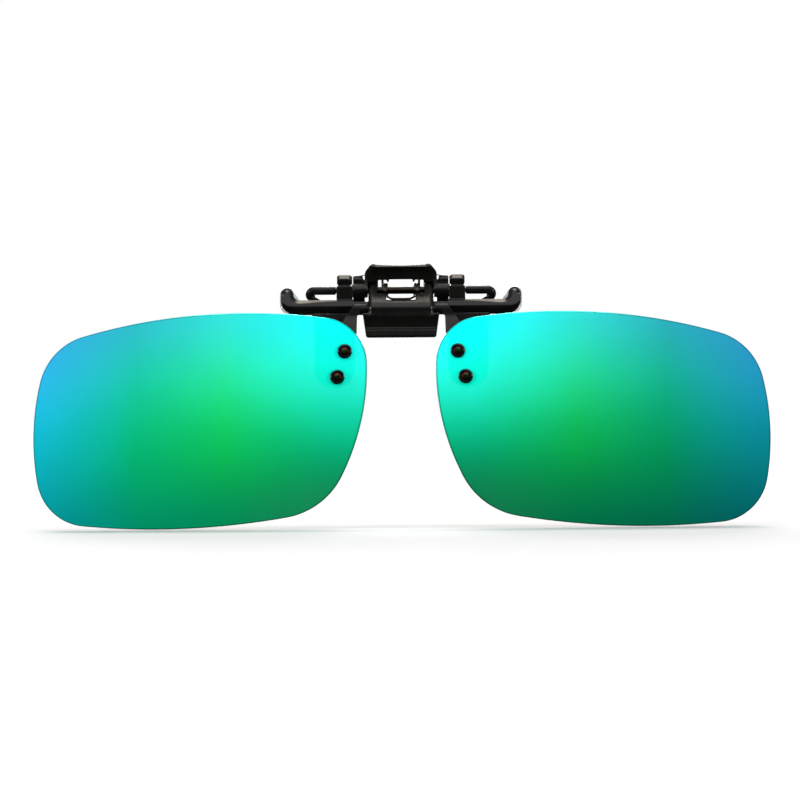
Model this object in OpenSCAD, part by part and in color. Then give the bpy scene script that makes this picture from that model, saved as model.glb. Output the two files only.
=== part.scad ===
// Flip-up clip-on sunglasses: two mirrored lenses on a sprung clip that grips a pair of glasses.
// Millimetres. +X is the wearer's left, -Y is the front, +Z is up.
// The origin is on the pinch axle, midway between the lenses, in the plane of the front pads' faces.

/* [Lenses] */
// Width of one lens
lens_w = 60.4; // [59:0.1:60.6]
// Thickness of a lens
lens_t = 1.1; // [0.9:0.05:1.2]
// Radius of the front face of a lens
lens_r = 130; // [120:5:150]
// Angle that each lens is turned back towards the temple
lens_wrap = 4; // [3:0.5:5]
// Distance between the nose edges of the two lenses
lens_gap = 12.8; // [12.6:0.1:13]

/* [Pinch joint] */
// Diameter of the pinch axle
axle_d = 1.33; // [1.2:0.01:1.4]
// Diameter of the torsion spring's wire
spring_wire_d = 0.4; // [0.36:0.02:0.42]
// Diameter of the bare prong wire
prong_wire_d = 1; // [0.9:0.05:1.05]
// Diameter over the prong's sleeve
sleeve_d = 1.5; // [1.4:0.05:1.6]
// Reach of a prong loop from the middle
prong_reach = 17.2; // [16.8:0.1:17.6]
// Drop from the axle to the lower run of the prong wire, along the loop's own plane
prong_drop = 4; // [3.8:0.1:4.2]

/* [Flip joint] */
// Diameter of the flip shaft
shaft_d = 1; // [0.9:0.05:1.1]
// Radius of the barrel that the flip shaft runs in
barrel_r = 1.65; // [1.6:0.01:1.7]
// Radius of the knuckles on the lens brackets
knuckle_r = 1.03; // [1:0.01:1.05]

/* [Clip] */
// Reach of the front arms from the middle
arm_reach = 21.65; // [21.2:0.05:22]
// Width of the thumb plate at its top
thumb_w = 13.8; // [13.4:0.1:14]
// Width of the pinch tab
tab_w = 13; // [12.8:0.1:13.1]
// Thickness of the silicone pads
pad_t = 0.6; // [0.5:0.05:0.8]

/* [Hidden] */
SIDES = [["left", -1], ["right", 1]];
$fn = 64;

black = [0.08, 0.08, 0.085];
soft_black = [0.13, 0.13, 0.14];
steel = [0.62, 0.63, 0.65];
silicone = [0.75, 0.76, 0.76];
mirror_green = [0.05, 0.72, 0.42];

running = 0.055;      // radial clearance of a shaft that turns in its bore
side_gap = 0.1;       // sideways gap between knuckles that turn past each other
cut = 0.5;            // how far a cutting shape runs past what it cuts
joined = 0.05;        // how far shapes of one moulding run into each other

// Pinch joint: where the pieces lie along the axle, measured from the middle
base_ear = [4.25, 5.85];
lever_ear = [base_ear[1] + side_gap, 8.6];
outer_ear = [lever_ear[1] + side_gap, 11.6];
pin_half = 7.4;
bore_reach = 7;
wire_start = pin_half + 0.1;
lower_wire_start = 7.2;
base_ear_r = 1.3;
lever_ear_r = 1.45;
outer_ear_r = 0.85;
wing_r = 0.95;
pin_bore_end = pin_half + joined;

// Flip joint
flip_y = -3.2;
flip_z = -3.45;
bracket_knuckle = [base_ear[1] + 0.2, 7.75];
leg_out = 10.5;

// Front arms, seen from the front
arm_rear = -pad_t;
arm_top = -1.7;
arm_ridge = -2.9;
arm_bottom = -4.4;
web_top = -2.05;
horn_top = 0.45;
horn_w = 2.3;
horn_fillet = 1;
arm_corner = 2.75;
thumb_bottom = -8.6;
web_half = outer_ear[0] - 0.2;

// Lens seat
lens_cx = (lens_gap + lens_w) / 2;
lens_cz = -23.35;
lens_y = -6.75;
seat_gap = 0.05;
plate_t = 1.2;

// Rim of a lens as eight tangent arcs, anticlockwise seen from the front, starting at the
// nose end of the lower edge: [radius at a 60 mm width, sweep]. The lower edge and the
// temple side take the two radii that close the outline.
rim_heading = -9.5;
rim_sweeps = [14.8, 75.4, 23.1, 60.5, 23.3, 80.7, 28.9, 53.3];
rim_radii = [0, 9.2, 0, 11.3, 108, 8.3, 42, 13.6];
rim_base_w = 60;

// Lens screws: [name, outward from the lens centre, up from it]
screw_places = [["upper", -26.27, 12.35], ["lower", -24.95, 7.75]];
bush_flange_r = 1.32;
bush_flange_t = 0.5;
bush_r = 0.95;
screw_r = 0.55;
screw_head_r = 0.82;
screw_head_t = 0.33;
head_floor = 0.12;
screw_clear = 0.05;
nut_t = 0.8;
nut_gap = 0.03;       // the bracket's rear face is hollow, so a flat nut stands off its middle
nut_flats = 2.2;

function sum_to(list, n) = n == 0 ? 0 : list[n - 1] + sum_to(list, n - 1);
function vec_sum(list, n) = n == 0 ? [0, 0] : list[n - 1] + vec_sum(list, n - 1);
function polar(r, a) = [r * cos(a), r * sin(a)];
function mix(a, b, t) = a + (b - a) * t;
// Points of an arc about c, from angle a to angle b
function arc(c, r, a, b, n = 12) = [for (i = [0:n]) c + polar(r, mix(a, b, i / n))];
// The step that a unit arc takes, from heading h through the sweep s
function arc_step(h, s) = [sin(h + s) - sin(h), cos(h) - cos(h + s)];

rim_heads = [for (i = [0:8]) rim_heading + sum_to(rim_sweeps, i)];
rim_steps = [for (i = [0:7]) arc_step(rim_heads[i], rim_sweeps[i])];
rim_rest = vec_sum([for (i = [0:7]) rim_radii[i] * rim_steps[i]], 8);
rim_det = rim_steps[0][0] * rim_steps[2][1] - rim_steps[0][1] * rim_steps[2][0];
rim_lower_r = (rim_steps[2][0] * rim_rest[1] - rim_steps[2][1] * rim_rest[0]) / rim_det;
rim_temple_r = (rim_steps[0][1] * rim_rest[0] - rim_steps[0][0] * rim_rest[1]) / rim_det;
rim_all = [for (i = [0:7]) i == 0 ? rim_lower_r : i == 2 ? rim_temple_r : rim_radii[i]];
rim_corners = [for (i = [0:7]) vec_sum([for (j = [0:7]) rim_all[j] * rim_steps[j]], i)];
rim_raw = [for (i = [0:7])
    for (k = [0:11])
        rim_corners[i] + rim_all[i] * arc_step(rim_heads[i], rim_sweeps[i] * k / 12)];
rim_xs = [for (p = rim_raw) p[0]];
rim_zs = [for (p = rim_raw) p[1]];
rim_mid = [(min(rim_xs) + max(rim_xs)) / 2, (min(rim_zs) + max(rim_zs)) / 2];
rim_scale = lens_w / rim_base_w;
rim_points = [for (p = rim_raw) (p - rim_mid) * rim_scale];

// Prong loop, in its own plane: x outward, second value down the plane from the axle
prong_tilt = 30;      // angle of the loop's plane from straight down, towards the wearer
prong_flare = 35;     // angle between the slanting run and the upper run
prong_bend_r = 0.8;
prong_ease_r = 1.5;
prong_bend_x = prong_reach - sleeve_d / 2 - prong_bend_r;
slant_start = [prong_bend_x, prong_bend_r] + prong_bend_r * [sin(prong_flare), cos(prong_flare)];
slant_len = (prong_drop - slant_start[1]) / sin(prong_flare)
    - prong_ease_r * tan(prong_flare / 2);
slant_end = slant_start + slant_len * [-cos(prong_flare), sin(prong_flare)];
ease_centre = slant_end - prong_ease_r * [sin(prong_flare), cos(prong_flare)];
loop_normal = [0, cos(prong_tilt), sin(prong_tilt)];
lower_y = prong_drop * sin(prong_tilt);
lower_z = -prong_drop * cos(prong_tilt);

// ---- helpers ----

module on_side(s) {
    mirror([s < 0 ? 1 : 0, 0, 0]) children();
}

// Both sides of one moulding
module both_sides() {
    for (s = [-1, 1]) on_side(s) children();
}

// Extrudes a front-view outline, drawn in X and Z, from y0 to y1
module front_slab(y0, y1) {
    translate([0, y1, 0]) rotate([90, 0, 0]) linear_extrude(y1 - y0) children();
}

// Extrudes a side-view section, drawn in Y and Z, from x0 to x1
module side_slab(x0, x1) {
    translate([x0, 0, 0]) rotate([90, 0, 90]) linear_extrude(x1 - x0) children();
}

// A cylinder along X at (y, z)
module x_rod(r, x0, x1, y = 0, z = 0) {
    translate([x0, y, z]) rotate([0, 90, 0]) cylinder(r = r, h = x1 - x0);
}

// Two circles joined by their outer tangents
module link_shape(p, rp, q, rq) {
    along = q - p;
    d = norm(along);
    heading = atan2(along[1], along[0]);
    open = acos((rp - rq) / d);
    translate(p) circle(rp);
    translate(q) circle(rq);
    polygon([p + polar(rp, heading + open), q + polar(rq, heading + open),
        q + polar(rq, heading - open), p + polar(rp, heading - open)]);
}

sweep_sides = 14;

function unit(v) = v / norm(v);
function line_dir(line, i) = unit(line[min(i + 1, len(line) - 1)] - line[max(i - 1, 0)]);
// The points of a ring of radius r round point i of a line that doesn't run along the
// direction lean
function ring(line, i, r, lean) =
    let (d = line_dir(line, i), side = unit(cross(d, lean)), up = cross(side, d))
    [for (k = [0:sweep_sides - 1])
        line[i] + r * (cos(360 * k / sweep_sides) * side + sin(360 * k / sweep_sides) * up)];
function rings(line, r, lean) = [for (i = [0:len(line) - 1]) each ring(line, i, r, lean)];
// The four-cornered faces between ring i and ring i + 1, of rings that start at point base
function wall(count, base, inward = false) = [for (i = [0:count - 2], k = [0:sweep_sides - 1])
    let (n = sweep_sides, a = base + i * n + k, b = base + i * n + (k + 1) % n)
    inward ? [b, a, a + n, b + n] : [a, b, b + n, a + n]];
// The flat faces that join the rim of ring i at base a to that at base b
function rim_face(a, b, flip) = [for (k = [0:sweep_sides - 1])
    let (j = (k + 1) % sweep_sides)
    flip ? [a + k, a + j, b + j, b + k] : [a + j, a + k, b + k, b + j]];

// A round rod along a line
module swept_rod(line, r, lean = [1, 0, 0]) {
    n = sweep_sides;
    last = (len(line) - 1) * n;
    ends = [[for (k = [n - 1:-1:0]) k], [for (k = [0:n - 1]) last + k]];
    polyhedron(rings(line, r, lean), concat(wall(len(line), 0), ends), convexity = 10);
}

// A round pipe along a line
module swept_pipe(line, r, bore_r, lean = [1, 0, 0]) {
    inner = len(line) * sweep_sides;
    last = inner - sweep_sides;
    polyhedron(concat(rings(line, r, lean), rings(line, bore_r, lean)),
        concat(wall(len(line), 0), wall(len(line), inner, true),
            rim_face(0, inner, false), rim_face(last, inner + last, true)), convexity = 10);
}

// ---- lenses and what holds them ----

// Puts children in the frame of the right-hand lens: origin at the middle of its front face
module lens_frame() {
    translate([lens_cx, lens_y, lens_cz]) rotate([0, 0, lens_wrap]) children();
}

// The layer between two depths behind the front face of a lens
module lens_layer(near, far) {
    lens_frame() translate([0, lens_r, 0]) difference() {
        sphere(r = lens_r - near, $fn = 256);
        sphere(r = lens_r - far, $fn = 256);
    }
}

// Puts children at screw i: origin on the lens's front face, -Y straight out of it
module at_screw(i) {
    across = screw_places[i][1];
    up = screw_places[i][2];
    lift = asin(up / lens_r);
    turn = asin(across / (lens_r * cos(lift)));
    lens_frame() translate([0, lens_r, 0]) rotate([0, 0, turn]) rotate([-lift, 0, 0])
        translate([0, -lens_r, 0]) children();
}

// A cylinder along Y, from y0 to y1
module y_rod(r, y0, y1, fn = 48) {
    translate([0, y1, 0]) rotate([90, 0, 0]) cylinder(r = r, h = y1 - y0, $fn = fn);
}

module screw_holes(r) {
    for (i = [0, 1]) at_screw(i) y_rod(r, -cut, lens_t + plate_t + seat_gap + cut);
}

// A lens without its holes, its outline scaled so that its ends grow by a margin
module lens_blank(thickness, margin = 0) {
    grown = 1 + 2 * margin / lens_w;
    intersection() {
        lens_layer(0, thickness);
        lens_frame() front_slab(-cut, thickness + 12) polygon(rim_points * grown);
    }
}

module lens(s) {
    color(mirror_green) on_side(s) difference() {
        lens_blank(lens_t);
        screw_holes(bush_r);
    }
}

module bush(s, i) {
    color(black) on_side(s) at_screw(i) difference() {
        union() {
            y_rod(bush_flange_r, -bush_flange_t, 0);
            y_rod(bush_r, -joined, lens_t);
        }
        y_rod(screw_head_r, -bush_flange_t - cut, -head_floor);
        y_rod(screw_r, -cut, lens_t + cut);
    }
}

module screw(s, i) {
    slot_w = 0.24;
    slot_depth = 0.15;
    head_face = -head_floor - screw_head_t;
    color(steel) on_side(s) at_screw(i) difference() {
        union() {
            y_rod(screw_head_r, head_face, -head_floor);
            y_rod(screw_r, -head_floor - joined, lens_t + seat_gap + plate_t + nut_gap + nut_t);
        }
        translate([-screw_head_r - cut, head_face - cut, -slot_w / 2])
            cube([2 * (screw_head_r + cut), slot_depth + cut, slot_w]);
    }
}

module nut(s, i) {
    near = lens_t + seat_gap + plate_t + nut_gap;
    color(steel) on_side(s) at_screw(i) difference() {
        translate([0, near + nut_t, 0]) rotate([90, 30, 0])
            cylinder(r = nut_flats / sqrt(3), h = nut_t, $fn = 6);
        y_rod(screw_r, near - cut, near + nut_t + cut);
    }
}

// Outline of the plate behind the lens: a straight top, a round foot
module plate_shape() {
    foot = [12, -14];
    foot_r = 3.6;
    polygon([[8, -4.2], [15.8, -4.2], [16.3, -4.9], foot + [foot_r, 0], foot - [foot_r, 0], [8, -8]]);
    translate(foot) circle(foot_r);
}

// The leg that comes down from the knuckle, beside the nose edge of the lens
module leg_shape() {
    polygon([[7.45, -2.5], [8.4, -2.5], [leg_out, -5.85], [8.2, -7.6], [8, -7.6],
        [7.9, -4.7], [7.7, -4.4], [7.45, -4.4]]);
}

// Side view of the leg: its top is round about the flip axis, to clear the arms as it turns,
// and its front leans forward towards its foot
module leg_section() {
    rear = 0.58;
    length = 5;
    lean = 0.45;
    translate([flip_y, flip_z]) {
        circle(knuckle_r);
        polygon([[-knuckle_r, 0], [-knuckle_r - lean, -length], [rear, -length], [rear, 0]]);
    }
}

module lens_bracket(s) {
    color(black) on_side(s) difference() {
        union() {
            intersection() {
                lens_layer(lens_t + seat_gap, lens_t + seat_gap + plate_t);
                front_slab(-8, 4) plate_shape();
            }
            intersection() {
                front_slab(-6, -2) leg_shape();
                side_slab(bracket_knuckle[0], leg_out + cut) leg_section();
            }
            x_rod(knuckle_r, bracket_knuckle[0], bracket_knuckle[1], flip_y, flip_z);
        }
        lens_blank(lens_t + seat_gap, seat_gap);
        x_rod(shaft_d / 2, bracket_knuckle[0] - cut, bracket_knuckle[1] + cut, flip_y, flip_z);
        screw_holes(screw_r + screw_clear);
    }
}

module flip_shaft() {
    color(steel) x_rod(shaft_d / 2, -bracket_knuckle[1], bracket_knuckle[1], flip_y, flip_z);
}

// ---- fixed half of the clip ----

// Front view of the right half of the arms
module arm_shape() {
    horn_r = horn_w / 2;
    tip = [arm_reach - horn_r, horn_top - horn_r];
    fillet = [arm_reach - horn_w - horn_fillet, arm_top + horn_fillet];
    corner = [arm_reach - arm_corner, arm_bottom + arm_corner];
    polygon(concat(
        [[0, web_top], [0, arm_bottom]],
        arc(corner, arm_corner, -90, 0),
        arc(tip, horn_r, 0, 180),
        arc(fillet, horn_fillet, 0, -90),
        [[web_half, arm_top], [web_half, web_top]]));
}

// Side view of the arms: a ridge along the front, and a face that leans back above it
module arm_section() {
    ridge_y = -2.3;
    top_y = -1.1;
    foot_y = -1.7;
    polygon([[arm_rear, horn_top], [arm_rear, arm_bottom], [foot_y, arm_bottom],
        [ridge_y, arm_ridge], [top_y, horn_top]]);
}

module arms() {
    both_sides() intersection() {
        front_slab(-3, 0) arm_shape();
        side_slab(-joined, arm_reach + 1) arm_section();
    }
}

// Outer knuckles: a block round the prong wire with a rounded post on top
module outer_ears() {
    post_y = -0.5;
    post_r = 0.88;
    post_z = 1.95;
    neck = [9.05, 11.3];
    block_top = 0.75;
    both_sides() {
        x_rod(outer_ear_r, outer_ear[0], outer_ear[1]);
        side_slab(outer_ear[0], outer_ear[1])
            polygon([[-1.5, block_top], [0.3, block_top], [0.3, 0], [arm_rear, -1],
                [arm_rear, -2], [-1.5, -2]]);
        side_slab(neck[0], neck[1]) translate([post_y - 0.55, 0.7]) square([1.1, 1.3]);
        x_rod(post_r, outer_ear[0] + joined, outer_ear[1] - 0.1, post_y, post_z);
    }
}

// Side view of a base ear: from the axle to the barrel
module ear_shape() {
    link_shape([0, 0], base_ear_r, [flip_y, flip_z], barrel_r);
}

// Gussets beside the base ears, cut back round the spring's coils
module gussets() {
    inner = 2.65;
    top = -0.62;
    coil_clear = coil_r + spring_wire_d / 2 + 0.15;
    both_sides() difference() {
        side_slab(inner, base_ear[0] + joined) intersection() {
            ear_shape();
            translate([-6, flip_z]) square([6, top - flip_z]);
        }
        x_rod(coil_clear, inner - cut, base_ear[0]);
    }
}

// Front view of the thumb plate
module thumb_shape() {
    top = -4.2;
    bottom = thumb_bottom;
    r = 0.45;
    top_half = thumb_w / 2;
    bottom_half = top_half - 0.55;
    polygon(concat([[-base_ear[1], -3.4], [-base_ear[1], top], [-top_half, top]],
        arc([-bottom_half + r, bottom + r], r, 180, 270, 6),
        arc([bottom_half - r, bottom + r], r, 270, 360, 6),
        [[top_half, top], [base_ear[1], top], [base_ear[1], -3.4]]));
}

// Side view of the thumb plate: a hollow for the thumb above a lip
module thumb_section() {
    polygon(concat([[-2.2, -3.4], [flip_y - 1.6, -3.4]],
        arc([-8.2, -6.75], 3.9, 31, -2, 10),
        [[-5.05, -7.2]],
        arc([-4.8, -8.15], 0.4, 200, 260, 5),
        [[-3.9, thumb_bottom], [-3.2, -7.4], [-2.4, -4.9]]));
}

// The thumb plate, its upper corners cut back round the lens brackets' knuckles
module thumb_plate() {
    difference() {
        intersection() {
            front_slab(-6, -2) thumb_shape();
            side_slab(-thumb_w, thumb_w) thumb_section();
        }
        both_sides() x_rod(knuckle_r + side_gap, base_ear[1], thumb_w, flip_y, flip_z);
    }
}

module clip_base() {
    color(black) difference() {
        union() {
            arms();
            outer_ears();
            x_rod(barrel_r, -base_ear[1], base_ear[1], flip_y, flip_z);
            both_sides() side_slab(base_ear[0], base_ear[1]) ear_shape();
            gussets();
            thumb_plate();
        }
        x_rod(shaft_d / 2 + running, -bore_reach, bore_reach, flip_y, flip_z);
        x_rod(axle_d / 2 + running, -bore_reach, bore_reach);
        both_sides() {
            x_rod(prong_wire_d / 2 + running, outer_ear[0] - cut, outer_ear[1] + cut);
            translate([pad_stem[0], 0, pad_stem[1]]) y_rod(pad_stem_r, -1.15, 0);
        }
    }
}

pad_stem = [20.1, -1.9];
pad_stem_r = 0.4;

module front_pad(s) {
    color(silicone) on_side(s) {
        front_slab(-pad_t, 0) link_shape([arm_reach - 1.15, -0.7], 1.3,
            [arm_reach - 1.7, -2.45], 1.85);
        translate([pad_stem[0], 0, pad_stem[1]]) y_rod(pad_stem_r, -1.1, -joined);
    }
}

// ---- sprung half of the clip ----

window_half = 4.1;    // half the width of the tab's window
cheek = 1.5;          // height of the tab's edge over the base ears
wing_step = 0.55;     // a wing starts this much further out than its ear
wing_top = -1.25;
collar_w = 0.35;

// Front view of the pinch tab: dished top, cut corners, a three-part window over the axle
module tab_shape() {
    half = tab_w / 2;
    shoulder = 3.15;
    top = 4.65;
    top_half = half - 1.4;
    dish = 0.2;
    window_top = 1.95;
    rib = [2.15, 2.5];
    foot = 0.8;
    foot_half = lever_ear[0];
    difference() {
        polygon(concat([for (i = [-8:8]) [top_half * i / 8, top - dish * cos(90 * i / 8)]],
            [[half, shoulder], [half, foot], [foot_half, foot], [foot_half, cheek],
                [-foot_half, cheek], [-foot_half, foot], [-half, foot], [-half, shoulder]]));
        translate([-rib[0], 0]) square([2 * rib[0], window_top]);
        for (s = [-1, 1]) scale([s, 1])
            translate([rib[1], 0]) square([window_half - rib[1], window_top - 0.1]);
    }
}

// Side view of the pinch tab: it sweeps forward, hollow towards the finger
module tab_section() {
    centre = [-3.9, 1.6];
    front_r = 2.95;
    rear_r = 4.1;
    foot = 0.7;
    rim_start = 60;
    rim_back = -1.75;
    polygon(concat([[centre[0] + rear_r, foot], [centre[0] + front_r, foot]],
        arc(centre, front_r, 0, rim_start, 10),
        [[rim_back, 4.8]],
        arc(centre, rear_r, 48, 0, 8)));
}

// Side view of the skirt that hangs from the tab behind a base ear
module skirt_shape() {
    skirt_r = [base_ear_r + 0.12, base_ear_r + 0.7];
    polygon(concat(arc([0, 0], skirt_r[1], 15, 100, 10), arc([0, 0], skirt_r[0], 100, 15, 10)));
}

// Side view of a lever ear: from the axle to the lower run of the prong wire
module wing_shape() {
    link_shape([0, 0], lever_ear_r, [lower_y, lower_z], wing_r);
}

// Side view of a collar that closes the gap behind the outer knuckle
module collar_shape() {
    collar_r = [outer_ear_r + 0.12, lever_ear_r - 0.06];
    polygon(concat(arc([0, 0], collar_r[1], -60, 52, 12), arc([0, 0], collar_r[0], 52, -60, 12)));
}

// Front view of the inner knuckle's post
module post_shape() {
    polygon([[lever_ear[0], 0], [lever_ear[0], 0.9], [6.6, 1.6], [6.95, 2.6], [7.15, 2.8],
        [8.4, 2.8], [lever_ear[1], 2.65], [lever_ear[1], 0]]);
}

module thumb_lever() {
    color(black) difference() {
        union() {
            intersection() {
                front_slab(-5, 3) tab_shape();
                side_slab(-tab_w, tab_w) tab_section();
            }
            both_sides() {
                side_slab(lever_ear[0], lever_ear[1]) wing_shape();
                side_slab(window_half, lever_ear[0] + joined) skirt_shape();
                side_slab(lever_ear[1] - joined, lever_ear[1] + collar_w) collar_shape();
                front_slab(-0.95, 0.45) post_shape();
            }
        }
        both_sides() translate([lever_ear[0] - cut, -3, -6]) cube([cut + wing_step, 8, 6 + wing_top]);
        x_rod(axle_d / 2, -pin_bore_end, pin_bore_end);
        both_sides() {
            x_rod(prong_wire_d / 2, wire_start - cut, lever_ear[1] + cut);
            x_rod(prong_wire_d / 2, lower_wire_start, lever_ear[1] + cut, lower_y, lower_z);
        }
    }
}

module axle_pin() {
    color(steel) x_rod(axle_d / 2, -pin_half, pin_half);
}

// A point of the prong loop's own plane, put in place
function in_loop(p) = [p[0], p[1] * sin(prong_tilt), -p[1] * cos(prong_tilt)];

prong_bend = arc([prong_bend_x, prong_bend_r], prong_bend_r, -90, 90 - prong_flare, 9);
prong_ease = arc(ease_centre, prong_ease_r, 90 - prong_flare, 90, 4);
sleeve_tail = 0.35;   // how far the sleeve runs past the bend

// Centre line of the loop, from upper_x on the axle to lower_x on the lower run
function prong_line(upper_x, lower_x) =
    [for (p = concat([[upper_x, 0]], prong_bend, prong_ease, [[lower_x, prong_drop]])) in_loop(p)];

// Centre line of the sleeve, from upper_x on the axle to just past the bend
function sleeve_line(upper_x) = [for (p = concat([[upper_x, 0]], prong_bend,
    [slant_start + sleeve_tail * unit(slant_end - slant_start)])) in_loop(p)];

module prong_wire(s) {
    pivot_end = 12.4;
    tucked = 0.98;      // the swept run is a hair thinner, so that it ends inside the pivot
    color(steel) on_side(s) {
        x_rod(prong_wire_d / 2, wire_start, pivot_end);
        swept_rod(prong_line(pivot_end - joined, lower_wire_start),
            tucked * prong_wire_d / 2, loop_normal);
    }
}

module prong_sleeve(s) {
    bore_r = prong_wire_d / 2 + 0.015;
    color(soft_black) on_side(s)
        swept_pipe(sleeve_line(outer_ear[1] + 0.15), sleeve_d / 2, bore_r, loop_normal);
}

// ---- torsion spring ----

coil_r = 1.2;
coil_out = 3.3;
coil_in = 2.36;
coil_turn = 823;      // from the outer leg, at the back, under the axle to the bridge
coil_steps = 36;
bridge_half = 1.35;
bridge_y = -2.4;
bridge_z = -1.6;

// Centre line of the right half, from the outer leg's end to the bridge
spring_half = concat(
    [[coil_out, 0.26, 2.9], [coil_out, 0.85, 1.8], [coil_out, 1.16, 0.8]],
    [for (i = [0:coil_steps])
        [mix(coil_out, coil_in, i / coil_steps),
            coil_r * cos(coil_turn * i / coil_steps),
            -coil_r * sin(coil_turn * i / coil_steps)]],
    [[2.15, -1.0, -1.3], [1.7, bridge_y + 0.3, bridge_z + 0.05],
        [bridge_half, bridge_y, bridge_z]]);
spring_line = concat(spring_half,
    [for (i = [len(spring_half) - 1:-1:0])
        [-spring_half[i][0], spring_half[i][1], spring_half[i][2]]]);
spring_lean = [1, -0.6, 0.3];

module torsion_spring() {
    color(steel) swept_rod(spring_line, spring_wire_d / 2, spring_lean);
}

// ---- nodes ----

clip_base();
torsion_spring();
thumb_lever();
axle_pin();
flip_shaft();
for (side = SIDES) {
    front_pad(side[1]);
    prong_wire(side[1]);
    prong_sleeve(side[1]);
    lens_bracket(side[1]);
    lens(side[1]);
    for (i = [0, 1]) {
        place = screw_places[i][0];
        screw(side[1], i);
        bush(side[1], i);
        nut(side[1], i);
    }
}
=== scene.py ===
"""Flip-up clip-on sunglasses: the looks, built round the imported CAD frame.

Shapes are worked out in millimetres and handed over in metres. +X is the wearer's left,
-Y the front and +Z up. Most values shared with the CAD carry the same names there.
"""
import math

import bmesh
import bpy
import numpy as np
from mathutils import Matrix, Vector


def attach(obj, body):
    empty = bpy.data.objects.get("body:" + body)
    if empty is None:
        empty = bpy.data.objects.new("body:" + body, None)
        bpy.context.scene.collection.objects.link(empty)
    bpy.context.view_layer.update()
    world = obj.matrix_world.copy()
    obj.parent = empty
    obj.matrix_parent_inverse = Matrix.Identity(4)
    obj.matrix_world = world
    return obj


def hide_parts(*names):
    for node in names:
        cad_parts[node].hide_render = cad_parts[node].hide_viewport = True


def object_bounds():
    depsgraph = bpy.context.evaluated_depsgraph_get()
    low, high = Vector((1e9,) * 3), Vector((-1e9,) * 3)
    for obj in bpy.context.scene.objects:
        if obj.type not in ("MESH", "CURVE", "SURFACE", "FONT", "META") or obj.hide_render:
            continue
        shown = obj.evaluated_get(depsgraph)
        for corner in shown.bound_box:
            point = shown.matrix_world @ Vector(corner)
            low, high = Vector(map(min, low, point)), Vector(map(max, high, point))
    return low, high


MM = 0.001

# Each side's name, as seen from the front, and the sign of its X
SIDES = (("left", -1), ("right", 1))

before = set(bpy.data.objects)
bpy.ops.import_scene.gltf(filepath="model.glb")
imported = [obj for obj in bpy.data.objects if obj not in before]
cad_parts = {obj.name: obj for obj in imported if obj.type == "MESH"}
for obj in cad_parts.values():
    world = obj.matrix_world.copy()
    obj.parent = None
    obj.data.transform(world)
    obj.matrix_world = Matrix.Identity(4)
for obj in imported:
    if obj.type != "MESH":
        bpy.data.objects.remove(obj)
cad_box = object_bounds()
scene = bpy.context.scene

# Lenses
LENS_W = 60.4
RIM_BASE_W = 60.0
LENS_T = 1.1
LENS_R = 130.0
LENS_WRAP = math.radians(4)
LENS_GAP = 12.8
LENS_CX = (LENS_GAP + LENS_W) / 2
LENS_Y = -6.75
LENS_CZ = -23.35
RIM_HEADING = -9.5
RIM_SWEEPS = (14.8, 75.4, 23.1, 60.5, 23.3, 80.7, 28.9, 53.3)
RIM_RADII = (None, 9.2, None, 11.3, 108, 8.3, 42, 13.6)
SEAT_GAP = 0.05
PLATE_T = 1.2
PLATE_FOOT = (12.0, -14.0)
PLATE_FOOT_R = 3.6

# What holds the lenses
SCREW_PLACES = (("upper", -26.27, 12.35), ("lower", -24.95, 7.75))
BUSH_FLANGE_R = 1.32
BUSH_FLANGE_T = 0.5
BUSH_R = 0.95
SCREW_R = 0.55
SCREW_HEAD_R = 0.82
HEAD_FLOOR = 0.12
SLOT_HALF = 0.11
SLOT_FLOOR = -0.3
NUT_T = 0.8
NUT_FLATS = 2.2
NUT_GAP = 0.03

# Clip
AXLE_R = 0.665
PIN_HALF = 7.4
SHAFT_R = 0.5
FLIP_Y = -3.2
FLIP_Z = -3.45
SHAFT_HALF = 7.75
ARM_REACH = 21.65
PAD_T = 0.6
PRONG_WIRE_R = 0.5
SLEEVE_R = 0.75
SLEEVE_BORE_R = 0.515
PRONG_REACH = 17.2
PRONG_DROP = 4.0
PRONG_TILT = math.radians(30)
PRONG_FLARE = math.radians(35)
PRONG_BEND_R = 0.8
PRONG_EASE_R = 1.5
SLEEVE_TAIL = 0.35
LOWER_WIRE_START = 7.2
OUTER_EAR_OUT = 11.6
SPRING_R = 0.2


# ---- materials ----

def shader(name):
    """A new material with its node tree and its shader."""
    mat = bpy.data.materials.new(name)
    mat.use_nodes = True
    return mat, mat.node_tree, mat.node_tree.nodes["Principled BSDF"]


def add(tree, kind, inputs=None, **settings):
    """A new node with its settings made, then its inputs linked or filled in."""
    node = tree.nodes.new(kind)
    for key, value in settings.items():
        setattr(node, key, value)
    for key, value in (inputs or {}).items():
        if isinstance(value, bpy.types.NodeSocket):
            tree.links.new(value, node.inputs[key])
        else:
            node.inputs[key].default_value = value
    return node


def fit(tree, value, from_lo, from_hi, to_lo, to_hi, smooth=False):
    """The value carried from one range to another, and held inside it."""
    kind = "SMOOTHSTEP" if smooth else "LINEAR"
    node = add(tree, "ShaderNodeMapRange", {"Value": value, "From Min": from_lo,
               "From Max": from_hi, "To Min": to_lo, "To Max": to_hi}, interpolation_type=kind)
    return node.outputs["Result"]


def math_node(tree, operation, a, b=0.0):
    node = add(tree, "ShaderNodeMath", {0: a, 1: b}, operation=operation)
    return node.outputs[0]


def hypotenuse(tree, a, b):
    squares = [math_node(tree, "POWER", side, 2.0) for side in (a, b)]
    return math_node(tree, "SQRT", math_node(tree, "ADD", *squares))


def noise_mm(tree, size, detail=2.0, rough=0.5):
    """Noise whose lumps are about size millimetres across."""
    coords = add(tree, "ShaderNodeTexCoord").outputs["Object"]
    node = add(tree, "ShaderNodeTexNoise", {"Vector": coords, "Scale": 1 / (size * MM),
               "Detail": detail, "Roughness": rough})
    return node.outputs["Fac"]


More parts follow.
